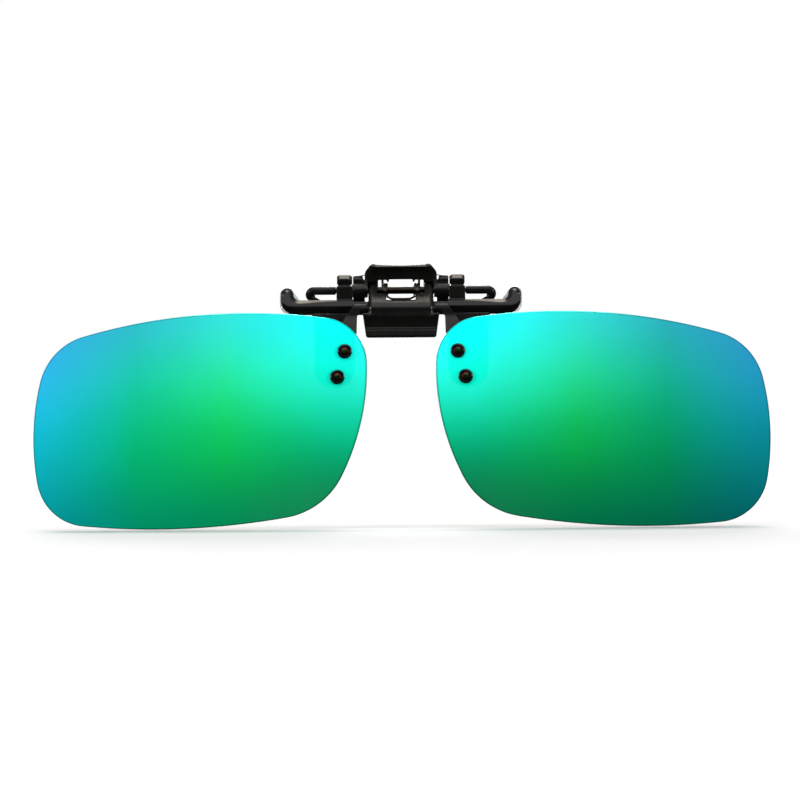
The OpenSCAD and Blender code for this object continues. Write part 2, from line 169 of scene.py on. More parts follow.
def mixed(tree, factor, a, b, blend="MIX"):
    """Two colours mixed by a factor, or else multiplied."""
    node = add(tree, "ShaderNodeMix", {"Factor": factor, "A": a, "B": b}, data_type="RGBA",
               blend_type=blend)
    return node.outputs["Result"]


def wander(tree, bsdf, noise, rough):
    """Lets the roughness wander between two values."""
    tree.links.new(fit(tree, noise, 0.3, 0.7, *rough), bsdf.inputs["Roughness"])


def bump(tree, bsdf, height, depth_mm, strength=1.0):
    node = add(tree, "ShaderNodeBump", {"Height": height, "Distance": depth_mm * MM,
               "Strength": strength})
    tree.links.new(node.outputs["Normal"], bsdf.inputs["Normal"])


def rgb(code):
    """A linear colour from its six-figure sRGB name."""
    parts = [int(code[i:i + 2], 16) / 255 for i in (0, 2, 4)]
    return [((c + 0.055) / 1.055) ** 2.4 if c > 0.04045 else c / 12.92 for c in parts] + [1.0]


def moulded_plastic(name, base, edge, rough, sheen):
    """Black moulded plastic: mottled sheen, fine spark grain, sharp edges painted a little
    paler, partly as wear and partly as a painted highlight. Its roughness wanders between two
    values."""
    mat, tree, bsdf = shader(name)
    pointed = add(tree, "ShaderNodeNewGeometry").outputs["Pointiness"]
    sharp_edges = fit(tree, pointed, 0.515, 0.6, 0.0, 1.0)
    patchy = fit(tree, noise_mm(tree, 1.4, 4.0), 0.4, 0.65, 0.25, 1.0)
    edge_wear_and_highlight = math_node(tree, "MULTIPLY", sharp_edges, patchy)
    mottle = fit(tree, noise_mm(tree, 3.5, 3.0), 0.35, 0.65, 0.0, 1.0)
    body = mixed(tree, mottle, base, [c * 1.5 for c in base[:3]] + [1.0])
    # The paler edge colour is partly wear and partly a painted highlight
    tree.links.new(mixed(tree, edge_wear_and_highlight, body, edge), bsdf.inputs["Base Color"])
    wander(tree, bsdf, noise_mm(tree, 0.9, 5.0, 0.6), rough)
    bsdf.inputs["Specular IOR Level"].default_value = sheen
    bump(tree, bsdf, noise_mm(tree, 0.07, 2.0), 0.003, 0.4)
    return mat


BRACKET_SHEEN = 0.35
BLACKENED_SHEEN = 0.12


def darken_past_painted_highlight(mat, height, depth):
    """Blackens a moulded plastic above one height and behind one depth, and makes it less shiny
    there; below and ahead its paler colour stays, a painted highlight on lit fronts. Each is the
    place where that starts and the place where it is full."""
    tree = mat.node_tree
    bsdf = tree.nodes["Principled BSDF"]
    coords = add(tree, "ShaderNodeTexCoord").outputs["Object"]
    split = add(tree, "ShaderNodeSeparateXYZ", {"Vector": coords})
    above = fit(tree, split.outputs["Z"], height[0] * MM, height[1] * MM, 0.0, 1.0)
    behind = fit(tree, split.outputs["Y"], depth[0] * MM, depth[1] * MM, 0.0, 1.0)
    past_painted_highlight = math_node(tree, "MAXIMUM", above, behind)
    body = bsdf.inputs["Base Color"].links[0].from_socket
    tree.links.new(mixed(tree, past_painted_highlight, body, rgb("060606")), bsdf.inputs["Base Color"])
    sheen = fit(tree, past_painted_highlight, 0.0, 1.0, BRACKET_SHEEN, BLACKENED_SHEEN)
    tree.links.new(sheen, bsdf.inputs["Specular IOR Level"])


def turned_metal(name, base, tint, rough, grain=0.12):
    """Metal with fine drawn or turned marks and a patchy sheen."""
    mat, tree, bsdf = shader(name)
    bsdf.inputs["Metallic"].default_value = 1.0
    patch = fit(tree, noise_mm(tree, 0.8, 3.0), 0.35, 0.65, 0.0, 1.0)
    tree.links.new(mixed(tree, patch, base, tint), bsdf.inputs["Base Color"])
    wander(tree, bsdf, noise_mm(tree, 0.25, 3.0), rough)
    bump(tree, bsdf, noise_mm(tree, grain, 2.0), 0.003, 0.5)
    return mat


def painted_green_reflection(mat):
    """A painted reflection: a greenish cast in the middle of a screw's head, the coating's
    colour picked up.
    """
    tree = mat.node_tree
    bsdf = tree.nodes["Principled BSDF"]
    coords = add(tree, "ShaderNodeTexCoord").outputs["Generated"]
    split = add(tree, "ShaderNodeSeparateXYZ", {"Vector": coords})
    offs = [math_node(tree, "SUBTRACT", split.outputs[axis], 0.5) for axis in ("X", "Z")]
    off = hypotenuse(tree, *offs)
    middle = fit(tree, off, 0.14, 0.3, 1.0, 0.0)
    body = bsdf.inputs["Base Color"].links[0].from_socket
    tree.links.new(mixed(tree, middle, body, rgb("16501f")), bsdf.inputs["Base Color"])


def rubber_sleeve():
    """Smooth black tubing, glossy, with a faint waviness."""
    mat, tree, bsdf = shader("sleeve_rubber")
    mottle = fit(tree, noise_mm(tree, 1.2, 3.0), 0.3, 0.7, 0.0, 1.0)
    tree.links.new(mixed(tree, mottle, rgb("070707"), rgb("0f0f10")), bsdf.inputs["Base Color"])
    wander(tree, bsdf, noise_mm(tree, 0.6, 3.0), (0.24, 0.38))
    bsdf.inputs["Specular IOR Level"].default_value = 0.12
    bump(tree, bsdf, noise_mm(tree, 0.5, 2.0), 0.01, 0.5)
    return mat


def silicone():
    """Milky clear silicone."""
    mat, tree, bsdf = shader("pad_silicone")
    cloud = fit(tree, noise_mm(tree, 0.8, 3.0), 0.3, 0.7, 0.0, 1.0)
    tree.links.new(mixed(tree, cloud, rgb("b4b8b7"), rgb("c8cccb")), bsdf.inputs["Base Color"])
    wander(tree, bsdf, noise_mm(tree, 0.4, 3.0), (0.3, 0.45))
    bsdf.inputs["Transmission Weight"].default_value = 0.35
    bsdf.inputs["IOR"].default_value = 1.41
    bump(tree, bsdf, noise_mm(tree, 0.2, 2.0), 0.005, 0.5)
    return mat


# Colours of the coating up four lines of a lens, partly its own colours and partly a painted
# reflection, brighter above and darker below. Each line has its distance out from the lens's
# middle and its colours at the heights above the lens's middle, lowest first.
COATING_HEIGHTS = (-18, -9, 0, 9, 18)
COATING_PAINTED_REFLECTION_LINES = (
    (-24, ("208858", "009058", "08d098", "28ffe8", "10f8ff")),
    (-5, ("009060", "08b050", "10d060", "28e8a0", "30d8d8")),
    (11, ("009870", "00b068", "08c080", "18c8a8", "30b0c8")),
    (28, ("0098a0", "08b0b8", "10c0d8", "30b8f0", "38a0e0")))

# Painted light on each lens's coating: how bright it is at its middle, and how much that falls
# for each millimetre outwards and rises for each millimetre upwards. The right lens is painted
# darker, as shade.
COATING_PAINTED_LIGHT_LEVELS = {"left": (1.0, 0.0, 0.0), "right": (0.77, 0.0078, 0.0091)}
# Painted shade: the margin round each lens's rim is coated at half the brightness
SHADED_MARGIN_SHARE = 0.5
PLATE_TINT = (0.2, 0.99, 0.93, 1.0)
PLATE_BLUR = 0.2


def painted_reflection_ramp(tree, height, codes):
    """The coating's colours, with their painted reflection, up one line of a lens, by height in
    millimetres.
    """
    low = COATING_HEIGHTS[0]
    high = COATING_HEIGHTS[-1]
    node = add(tree, "ShaderNodeValToRGB", {"Fac": fit(tree, height, low, high, 0.0, 1.0)})
    node.color_ramp.interpolation = "B_SPLINE"
    stops = node.color_ramp.elements
    while len(stops) < len(codes):
        stops.new(0.5)
    for stop, at in zip(stops, COATING_HEIGHTS):
        stop.position = (at - low) / (high - low)
    for stop, code in zip(stops, codes):
        stop.color = rgb(code)
    return node.outputs["Color"]


def coating_with_painted_light(name, side, level, fall_out, rise_up):
    """The mirror coating: green in the middle, cyan above, blue at the temple, with painted
    reflection and painted shade in its colour.
    """
    mat, tree, bsdf = shader(name)
    coords = add(tree, "ShaderNodeTexCoord").outputs["Object"]
    split = add(tree, "ShaderNodeSeparateXYZ", {"Vector": coords})
    across = math_node(tree, "MULTIPLY", split.outputs["X"], side / MM)
    height = math_node(tree, "MULTIPLY", split.outputs["Z"], 1 / MM)
    u = math_node(tree, "SUBTRACT", across, LENS_CX)
    v = math_node(tree, "SUBTRACT", height, LENS_CZ)
    colour = painted_reflection_ramp(tree, v, COATING_PAINTED_REFLECTION_LINES[0][1])
    for (near, _), (far, codes) in zip(COATING_PAINTED_REFLECTION_LINES, COATING_PAINTED_REFLECTION_LINES[1:]):
        along = fit(tree, u, near, far, 0.0, 1.0)
        colour = mixed(tree, along, colour, painted_reflection_ramp(tree, v, codes))
    # The bracket's plate shows through as a deeper, crisp-edged patch
    foot_x = math_node(tree, "SUBTRACT", across, PLATE_FOOT[0])
    foot_z = math_node(tree, "MINIMUM", math_node(tree, "SUBTRACT", height, PLATE_FOOT[1]), 0.0)
    reach = hypotenuse(tree, foot_x, foot_z)
    patch = fit(tree, reach, PLATE_FOOT_R + PLATE_BLUR, PLATE_FOOT_R - PLATE_BLUR, 0.0, 1.0)
    deep = mixed(tree, 1.0, colour, PLATE_TINT, "MULTIPLY")
    colour = mixed(tree, patch, colour, deep)
    drift = fit(tree, noise_mm(tree, 9.0, 2.0), 0.3, 0.7, 0.98, 1.02)
    # Painted shade: brightness falls outwards and rises upwards, and the right lens is darker
    # overall
    painted_light_slope = math_node(tree, "ADD", math_node(tree, "MULTIPLY", u, -fall_out),
                      math_node(tree, "MULTIPLY", v, rise_up))
    painted_light_gain = math_node(tree, "MULTIPLY", drift, math_node(tree, "ADD", painted_light_slope, level))
    even = add(tree, "ShaderNodeCombineColor", {"Red": painted_light_gain, "Green": painted_light_gain, "Blue": painted_light_gain})
    tree.links.new(mixed(tree, 1.0, colour, even.outputs[0], "MULTIPLY"),
                   bsdf.inputs["Base Color"])
    wander(tree, bsdf, noise_mm(tree, 2.5, 4.0), (0.12, 0.17))
    bsdf.inputs["Metallic"].default_value = 0.25
    bsdf.inputs["Specular IOR Level"].default_value = 0.15
    return mat


def tinted_lens(name, dark, pale, rough):
    """The tinted side of a lens, or its ground edge."""
    mat, tree, bsdf = shader(name)
    cloud = fit(tree, noise_mm(tree, 14.0, 2.0), 0.3, 0.7, 0.0, 1.0)
    tree.links.new(mixed(tree, cloud, dark, pale), bsdf.inputs["Base Color"])
    wander(tree, bsdf, noise_mm(tree, 0.5, 3.0), rough)
    return mat


PLASTIC = moulded_plastic("clip_plastic", rgb("080807"), rgb("2a2723"), (0.24, 0.34), 0.2)
# Painted highlight: the brackets' plastic is a paler brown-grey so their fronts look lit; above
# and behind it is made black again
BRACKET_PAINTED_LIT_PLASTIC = moulded_plastic("bracket_plastic_painted_lit", rgb("201e1b"), rgb("45403a"), (0.36, 0.5),
                                  BRACKET_SHEEN)
darken_past_painted_highlight(BRACKET_PAINTED_LIT_PLASTIC, (-4.9, -4.4), (-4.15, -3.8))
NYLON = moulded_plastic("bush_nylon", rgb("040506"), rgb("121414"), (0.16, 0.26), 0.3)
SLEEVE = rubber_sleeve()
SILICONE = silicone()
DARK_STEEL = turned_metal("dark_steel", rgb("1c1a18"), rgb("2a2622"), (0.25, 0.38))
SPRING_STEEL = turned_metal("spring_steel", rgb("2a2622"), rgb("3d3833"), (0.24, 0.36))
SCREW_METAL = turned_metal("screw_metal", rgb("3a2222"), rgb("4a2c2a"), (0.22, 0.36), 0.08)
painted_green_reflection(SCREW_METAL)
NUT_METAL = turned_metal("nut_metal", rgb("8b8883"), rgb("a5a29c"), (0.22, 0.36), 0.1)
LENS_BACK = tinted_lens("lens_back", rgb("1c2321"), rgb("1f2725"), (0.22, 0.26))
LENS_EDGE = tinted_lens("lens_edge", rgb("7f9a95"), rgb("93aca7"), (0.25, 0.4))
COATINGS = {}
SHADED_MARGINS = {}
for name, side in SIDES:
    levels = COATING_PAINTED_LIGHT_LEVELS[name]
    COATINGS[name] = coating_with_painted_light("mirror_" + name, side, *levels)
    SHADED_MARGINS[name] = coating_with_painted_light("shaded_margin_" + name, side, *[SHADED_MARGIN_SHARE * n for n in levels])


# ---- mesh helpers ----

SKIN_STEP = 0.08
SKIN_ROUNDINGS = 6
MOULDED_SHARP = 60


def place(name, mesh, materials, body, nodes, smooth_deg=35):
    """Puts a mesh drawn in millimetres in the scene as a piece that stands for CAD nodes."""
    mesh.name = name
    mesh.transform(Matrix.Scale(MM, 4))
    for material in materials:
        mesh.materials.append(material)
    mesh.shade_smooth()
    mesh.set_sharp_from_angle(angle=math.radians(smooth_deg))
    obj = bpy.data.objects.new(name, mesh)
    scene.collection.objects.link(obj)
    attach(obj, body)
    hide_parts(*nodes)
    return obj


def mesh_of(bm):
    mesh = bpy.data.meshes.new("work")
    bmesh.ops.recalc_face_normals(bm, faces=bm.faces[:])
    bm.to_mesh(mesh)
    bm.free()
    return mesh


def with_modifiers(mesh, *modifiers):
    """The mesh after modifiers, each (kind, settings), have been applied to it."""
    obj = bpy.data.objects.new("work", mesh)
    scene.collection.objects.link(obj)
    for kind, settings in modifiers:
        modifier = obj.modifiers.new(kind, kind)
        for key, value in settings.items():
            setattr(modifier, key, value)
    bpy.context.view_layer.update()
    result = bpy.data.meshes.new_from_object(obj.evaluated_get(
        bpy.context.evaluated_depsgraph_get()))
    bpy.data.objects.remove(obj)
    bpy.data.meshes.remove(mesh)
    return result


def cut(mesh, *cutters):
    """The mesh with the cutters' volumes taken away."""
    for cutter in cutters:
        tool = bpy.data.objects.new("cutter", cutter)
        scene.collection.objects.link(tool)
        mesh = with_modifiers(mesh, ("BOOLEAN", {"operation": "DIFFERENCE", "object": tool,
                                                 "solver": "EXACT"}))
        bpy.data.objects.remove(tool)
        bpy.data.meshes.remove(cutter)
    return mesh


def cad_copy(node):
    """A CAD node's mesh, welded, in millimetres."""
    bm = bmesh.new()
    bm.from_mesh(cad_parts[node].data)
    bmesh.ops.transform(bm, matrix=Matrix.Scale(1 / MM, 4), verts=bm.verts[:])
    bmesh.ops.remove_doubles(bm, verts=bm.verts[:], dist=0.001)
    return mesh_of(bm)


def moulded(mesh, keep=0.35, shape=None):
    """Makes a fine even skin of a mesh and rounds its edges as a mould does. The function
    shape, if given, moves the skin's points first. A share of the skin's faces is kept."""
    mesh = with_modifiers(mesh, ("REMESH", {"mode": "VOXEL", "voxel_size": SKIN_STEP}))
    if shape:
        flat = np.empty(3 * len(mesh.vertices))
        mesh.vertices.foreach_get("co", flat)
        mesh.vertices.foreach_set("co", shape(flat.reshape(-1, 3)).ravel())
        mesh.update()
    return with_modifiers(mesh, ("SMOOTH", {"factor": 0.5, "iterations": SKIN_ROUNDINGS}),
                          ("DECIMATE", {"ratio": keep}))


def catmull(points, steps):
    """A smooth line through points."""
    pts = [points[0] * 2 - points[1]] + points + [points[-1] * 2 - points[-2]]
    line = []
    for i in range(1, len(pts) - 2):
        a, b, c, d = pts[i - 1:i + 3]
        for k in range(steps):
            t = k / steps
            line.append(0.5 * ((2 * b) + (c - a) * t + (2 * a - 5 * b + 4 * c - d) * t * t
                               + (3 * b - a - 3 * c + d) * t ** 3))
    line.append(points[-1])
    return line


def swept(path, stations, sides=24, looped=False):
    """A round skin along a path. Each station is (distance along the path, radius)."""
    lengths = [0.0]
    for a, b in zip(path, path[1:]):
        lengths.append(lengths[-1] + (b - a).length)
    tangents = [(path[min(i + 1, len(path) - 1)] - path[max(i - 1, 0)]).normalized()
                for i in range(len(path))]
    side = tangents[0].orthogonal().normalized()
    frames = []
    for tangent in tangents:
        side = (side - tangent * side.dot(tangent)).normalized()
        frames.append((side.copy(), tangent.cross(side)))
    bm = bmesh.new()
    rings = []
    for distance, radius in stations:
        i = min(max(int(np.searchsorted(lengths, distance, side="right")) - 1, 0), len(path) - 2)
        t = (distance - lengths[i]) / (lengths[i + 1] - lengths[i])
        centre = path[i].lerp(path[i + 1], t)
        out = frames[i][0].lerp(frames[i + 1][0], min(max(t, 0), 1))
        up = frames[i][1].lerp(frames[i + 1][1], min(max(t, 0), 1))
        if radius == 0:
            rings.append([bm.verts.new(centre)] * sides)
            continue
        turn = 2 * math.pi / sides
        rings.append([bm.verts.new(centre + radius * (math.cos(k * turn) * out
                                                      + math.sin(k * turn) * up))
                      for k in range(sides)])
    pairs = list(zip(rings, rings[1:]))
    if looped:
        pairs.append((rings[-1], rings[0]))
    for ring, following in pairs:
        for k in range(sides):
            j = (k + 1) % sides
            corners = []
            for vert in (ring[k], ring[j], following[j], following[k]):
                if vert not in corners:
                    corners.append(vert)
            bm.faces.new(corners)
    return mesh_of(bm)


def path_length(path):
    return sum((b - a).length for a, b in zip(path, path[1:]))


def rod_stations(length, radius, step=0.25, ease=0.12):
    """Stations of a solid rod with a small rounding at each end."""
    count = max(2, round(length / step))
    body = [(ease + (length - 2 * ease) * i / count, radius) for i in range(count + 1)]
    start = [(0.0, 0.0), (0.0, radius - ease), (ease * 0.3, radius - ease * 0.3)]
    end = [(length - s, r) for s, r in reversed(start)]
    return start + body + end


def pipe_stations(length, radius, bore, step=0.25, ease=0.1):
    """Stations of a pipe, out along its bore and back along its skin."""
    count = max(2, round(length / step))
    inner = [(length * i / count, bore) for i in range(count + 1)]
    skin = [(length - ease - (length - 2 * ease) * i / count, radius) for i in range(count + 1)]
    lip = [(length, radius - ease), (length - ease * 0.3, radius - ease * 0.3)]
    other_lip = [(length - s, r) for s, r in reversed(lip)]
    return inner + lip + skin + other_lip


def lathe(profile, sides=48):
    """Turns a closed profile of (radius, y) about the Y axis."""
    reach = 50
    path = [Vector((0, -reach, 0)), Vector((0, reach, 0))]
    stations = [(y + reach, r) for r, y in profile]
    return swept(path, stations, sides, looped=profile[0][0] > 0)


def prism(outline, y0, y1):
    """An outline in X and Z, extruded from y0 to y1."""
    bm = bmesh.new()
    near = [bm.verts.new((p[0], y0, p[1])) for p in outline]
    far = [bm.verts.new((p[0], y1, p[1])) for p in outline]
    bm.faces.new(near)
    bm.faces.new(far[::-1])
    for i in range(len(outline)):
        j = (i + 1) % len(outline)
        bm.faces.new((near[i], far[i], far[j], near[j]))
    return mesh_of(bm)


def mirrored(mesh, side):
    if side < 0:
        mesh.transform(Matrix.Scale(-1, 4, (1, 0, 0)))
        mesh.flip_normals()
    return mesh


# ---- lenses ----

def arc_step(heading, sweep):
    a = math.radians(heading)
    b = math.radians(heading + sweep)
    return Vector((math.sin(b) - math.sin(a), math.cos(a) - math.cos(b)))


def rim_outline(steps=22):
    """The rim of the lens on the +X side, centred, as eight tangent arcs."""
    heads = [RIM_HEADING + sum(RIM_SWEEPS[:i]) for i in range(8)]
    whole = [arc_step(h, s) for h, s in zip(heads, RIM_SWEEPS)]
    rest = sum((r * w for r, w in zip(RIM_RADII, whole) if r), Vector((0, 0)))
    det = whole[0].x * whole[2].y - whole[0].y * whole[2].x
    lower_r = (whole[2].x * rest.y - whole[2].y * rest.x) / det
    temple_r = (whole[0].y * rest.x - whole[0].x * rest.y) / det
    radii = [lower_r, RIM_RADII[1], temple_r] + list(RIM_RADII[3:])
    corner = Vector((0, 0))
    points = []
    for head, sweep, radius, step in zip(heads, RIM_SWEEPS, radii, whole):
        points += [corner + radius * arc_step(head, sweep * k / steps) for k in range(steps)]
        corner = corner + radius * step
    lows = [min(p[i] for p in points) for i in (0, 1)]
    highs = [max(p[i] for p in points) for i in (0, 1)]
    middle = Vector(((lows[0] + highs[0]) / 2, (lows[1] + highs[1]) / 2))
    return [(p - middle) * LENS_W / RIM_BASE_W for p in points]


LENS_FRAME = Matrix.Translation((LENS_CX, LENS_Y, LENS_CZ)) @ Matrix.Rotation(LENS_WRAP, 4, "Z")


def at_screw(index):
    """The place of a screw: origin on the lens's front face, -Y straight out of it."""
    across, up = SCREW_PLACES[index][1:]
    lift = math.asin(up / LENS_R)
    turn = math.asin(across / (LENS_R * math.cos(lift)))
    return (LENS_FRAME @ Matrix.Translation((0, LENS_R, 0)) @ Matrix.Rotation(turn, 4, "Z")
            @ Matrix.Rotation(-lift, 4, "X") @ Matrix.Translation((0, -LENS_R, 0)))


# What each face of a lens is made of, in the order of its materials; the margin's darker coating
# is painted shade
COATED, GROUND, TINTED, MARGIN = range(4)
LENS_RINGS = 44
FACE_SHARE = 0.98
FRONT_BEVEL = 0.14
FRONT_MARGIN = 0.1
BACK_BEVEL = 0.1


def lens_mesh():
    """A lens: sphere front and back, and a ground edge with a bevel on both sides. The coating
    is painted darker, as painted shade, over the front bevel and a thin margin inside it."""
    rim = rim_outline()
    count = len(rim)

    def ball(p, depth):
        return LENS_R - math.sqrt((LENS_R - depth) ** 2 - p.length_squared)

    bm = bmesh.new()

    def loop(shrink, depth, lift=0.0):
        points = [p * shrink(p) for p in rim]
        return [bm.verts.new((p.x, ball(p, depth) + lift, p.y)) for p in points]

    def face_rings(depth):
        return [loop(lambda p, share=FACE_SHARE * i / LENS_RINGS: share, depth)
                for i in range(1, LENS_RINGS + 1)]

    front = face_rings(0)
    back = face_rings(LENS_T)
    edge = [loop(lambda p: 1 - (FRONT_BEVEL + FRONT_MARGIN) / p.length, 0),
            loop(lambda p: 1 - FRONT_BEVEL / p.length, 0),
            loop(lambda p: 1.0, 0, FRONT_BEVEL),
            loop(lambda p: 1.0, LENS_T, -BACK_BEVEL),
            loop(lambda p: 1 - 0.3 * BACK_BEVEL / p.length, LENS_T, -0.3 * BACK_BEVEL)]
    chain = front + edge + back[::-1]
    bands = [COATED] * len(front) + [MARGIN] * 2 + [GROUND] * 2 + [TINTED] * len(back)
    for band, a, b in zip(bands, chain, chain[1:]):
        for k in range(count):
            j = (k + 1) % count
            face = bm.faces.new((a[k], a[j], b[j], b[k]))
            face.material_index = band
    for index, depth, ring in ((COATED, 0, front[0]), (TINTED, LENS_T, back[0])):
        middle = bm.verts.new((0, depth, 0))
        for k in range(count):
            face = bm.faces.new((middle, ring[k], ring[(k + 1) % count]))
            face.material_index = index
    bmesh.ops.transform(bm, matrix=LENS_FRAME, verts=bm.verts[:])
    mesh = mesh_of(bm)
    holes = []
    for i in range(len(SCREW_PLACES)):
        hole = lathe([(0, -2), (BUSH_R, -2), (BUSH_R, 3), (0, 3)], 40)
        hole.transform(at_screw(i))
        holes.append(hole)
    return cut(mesh, *holes)


def bush_mesh():
    """A domed black washer whose collar goes through the lens."""
    skirt = 0.15
    dome_r = 0.3
    dome = [(BUSH_FLANGE_R, 0.0), (BUSH_FLANGE_R, -0.1)]
    for k in range(7):
        a = math.pi / 2 * k / 6
        dome.append((BUSH_FLANGE_R - dome_r + dome_r * math.cos(a),
                     -skirt - (BUSH_FLANGE_T - skirt) * math.sin(a)))
    lip = [(SCREW_HEAD_R + 0.06, -BUSH_FLANGE_T + 0.01), (SCREW_HEAD_R + 0.01, -0.43),
           (SCREW_HEAD_R, -HEAD_FLOOR), (SCREW_R, -HEAD_FLOOR), (SCREW_R, LENS_T)]
    return lathe(dome + lip + [(BUSH_R, LENS_T), (BUSH_R, 0.0)])


def screw_mesh():
    """A slotted round-head screw."""
    end = LENS_T + SEAT_GAP + PLATE_T + NUT_GAP + NUT_T
    dome_r = SCREW_HEAD_R - 0.05
    dome_y = -0.25
    dome_rise = 0.22
    chamfer = 0.12
    head = [(0, dome_y - dome_rise)]
    for k in range(1, 8):
        a = math.pi / 2 * k / 7
        head.append((dome_r * math.sin(a), dome_y - dome_rise * math.cos(a)))
    head += [(dome_r + 0.02, -HEAD_FLOOR - 0.02), (dome_r, -HEAD_FLOOR), (SCREW_R, -HEAD_FLOOR)]
    tip = [(SCREW_R - 0.01, end - chamfer), (SCREW_R - chamfer, end), (0, end)]
    slot = prism([(-1, -SLOT_HALF), (1, -SLOT_HALF), (1, SLOT_HALF), (-1, SLOT_HALF)],
                 -1, SLOT_FLOOR)
    return cut(lathe(head + tip), slot)


def nut_mesh():
    """A hexagon nut with its corners turned off, as rings from its bore round and back."""
    near = LENS_T + SEAT_GAP + PLATE_T + NUT_GAP
    far = near + NUT_T
    outer = NUT_FLATS / math.sqrt(3)
    chamfer = 0.1
    sides = 48
    bm = bmesh.new()
    rings = []
    for y, r in ((near, SCREW_R), (near, 0.93 * outer), (near + 0.08, outer),
                 (far - 0.14, outer), (far, 0.88 * outer), (far, SCREW_R + chamfer),
                 (far - chamfer, SCREW_R)):
        ring = []
        for k in range(sides):
            a = 2 * math.pi * k / sides
            flat = (NUT_FLATS / 2) / math.cos((a % (math.pi / 3)) - math.pi / 6)
            reach = min(r, flat)
            ring.append(bm.verts.new((reach * math.cos(a), y, reach * math.sin(a))))
        rings.append(ring)
    for ring, following in zip(rings, rings[1:] + rings[:1]):
        for k in range(sides):
            j = (k + 1) % sides
            bm.faces.new((ring[k], ring[j], following[j], following[k]))
    return mesh_of(bm)


for name, side in SIDES:
    place("lens_shell_" + name, mirrored(lens_mesh(), side),
          [COATINGS[name], LENS_EDGE, LENS_BACK, SHADED_MARGINS[name]], "lenses", ["lens_" + name])
    for i, (level, across, up) in enumerate(SCREW_PLACES):
        for kind, mesh, material, slot in (("bush", bush_mesh(), NYLON, "black_nylon"),
                                           ("screw", screw_mesh(), SCREW_METAL, "screw_metal"),
                                           ("nut", nut_mesh(), NUT_METAL, "screw_metal")):
            mesh.transform(at_screw(i))
            place(f"{level}_{kind}_detail_{name}", mirrored(mesh, side), [material], "lenses",
                  [f"{level}_{kind}_{name}"])
    bracket = moulded(cad_copy("lens_bracket_" + name), 0.5)
    place("bracket_moulding_" + name, bracket, [BRACKET_PAINTED_LIT_PLASTIC], "lenses",
          ["lens_bracket_" + name])


# ---- clip ----

# Sizes and places that the mouldings' own shaping goes by. NOWHERE is in front of them all.
NOWHERE = -9
ARM_TOP = -1.7
ARM_BOTTOM = -4.4
ARM_RIDGE = -2.9
HORN_TOP = 0.45
HORN_R = 1.15
HORN_FILLET = 1.0
HORN_FACE_Y = -1.1
ARM_CORNER = 2.75
ARM_FOOT_Y = -1.7
RIDGE_Y = -2.3
FACET_IN = 12.2
FACET_END = 0.5
BEVEL_IN = 8.8
BEVEL_WIDTHS = (0.3, 0.7)
BEVEL_WIDENS = (12.0, 19.0)
BEVEL_SLOPE = 0.85
BEVEL_REAR = -0.75
POST_AT = (-0.5, 1.95)
POST_FLAT = 0.66
POST_LEAN = math.radians(49)
POST_IN = 8.75
POST_FOOT = 1.2
POST_ROUND = 0.35
BASE_EAR_R = 1.3
BARREL_R = 1.65
BASE_EAR_OUT = 5.85
END_IN = 5.1
END_ROUND = 0.5


def smooth_step(value, low, high):
    t = np.clip((value - low) / (high - low), 0, 1)
    return t * t * (3 - 2 * t)


def between(a, b, t):
    return a + (b - a) * t


def top_bevel(x, z):
    """The front of the bevel along the arms' top edge and round the horns, or else NOWHERE."""
    horn_x = ARM_REACH - HORN_R
    horn_z = HORN_TOP - HORN_R
    fillet_x = horn_x - HORN_R - HORN_FILLET
    below = z < horn_z
    inset = np.where(below, np.hypot(x - fillet_x, z - horn_z) - HORN_FILLET,
                     HORN_R - np.hypot(x - horn_x, z - horn_z))
    inset = np.where(below & (x < fillet_x), ARM_TOP - z, inset)
    wide = between(BEVEL_WIDTHS[0], BEVEL_WIDTHS[1], smooth_step(x, *BEVEL_WIDENS))
    face_y = RIDGE_Y + (HORN_FACE_Y - RIDGE_Y) * (z - ARM_RIDGE) / (HORN_TOP - ARM_RIDGE)
    edge_y = np.minimum(face_y + BEVEL_SLOPE * (wide - inset), BEVEL_REAR)
    on_face = (inset > -0.15) & (inset < wide) & (z > ARM_RIDGE) & (x > BEVEL_IN)
    return np.where(on_face, edge_y, NOWHERE)


def arm_facet(x, y, z):
    """The skin's y once the arms' lower facet is cut and carried round their outer corners."""
    right = x - (ARM_REACH - ARM_CORNER)
    down = ARM_BOTTOM + ARM_CORNER - z
    in_corner = (right > 0) & (down > 0)
    inset = np.where(in_corner, ARM_CORNER - np.hypot(right, down),
                     np.where(down > 0, z - ARM_BOTTOM, ARM_REACH - x))
    turn = np.arctan2(np.maximum(right, 0), np.maximum(down, 1e-6)) / (math.pi / 2)
    facet = between(ARM_RIDGE - ARM_BOTTOM, FACET_END, smooth_step(turn, 0.15, 1.0))
    limit = between(ARM_FOOT_Y, RIDGE_Y, inset / facet)
    on_arm = (x > FACET_IN) & (y < -1.0) & (inset < facet)
    return np.where(on_arm, np.maximum(y, limit), y)


def outer_post_tops(x, y, z):
    """The skin's y and z once the outer posts' tops are flattened at a slant and rounded."""
    post_up = (z - POST_AT[1]) * math.sin(POST_LEAN) - (y - POST_AT[0]) * math.cos(POST_LEAN)
    on_post = (x > POST_IN - 0.05) & (x < OUTER_EAR_OUT) & (z > POST_FOOT)
    shaved = np.where(on_post, np.maximum(post_up - POST_FLAT, 0), 0)
    to_end = np.clip(np.minimum(x - POST_IN, OUTER_EAR_OUT - x) / (2 * POST_ROUND), 0, 1)
    drop = POST_ROUND * (1 - to_end) ** 2 * smooth_step(z, 1.4, 2.2)
    return (y + shaved * math.cos(POST_LEAN),
            z - shaved * math.sin(POST_LEAN) - np.where(on_post, drop, 0))


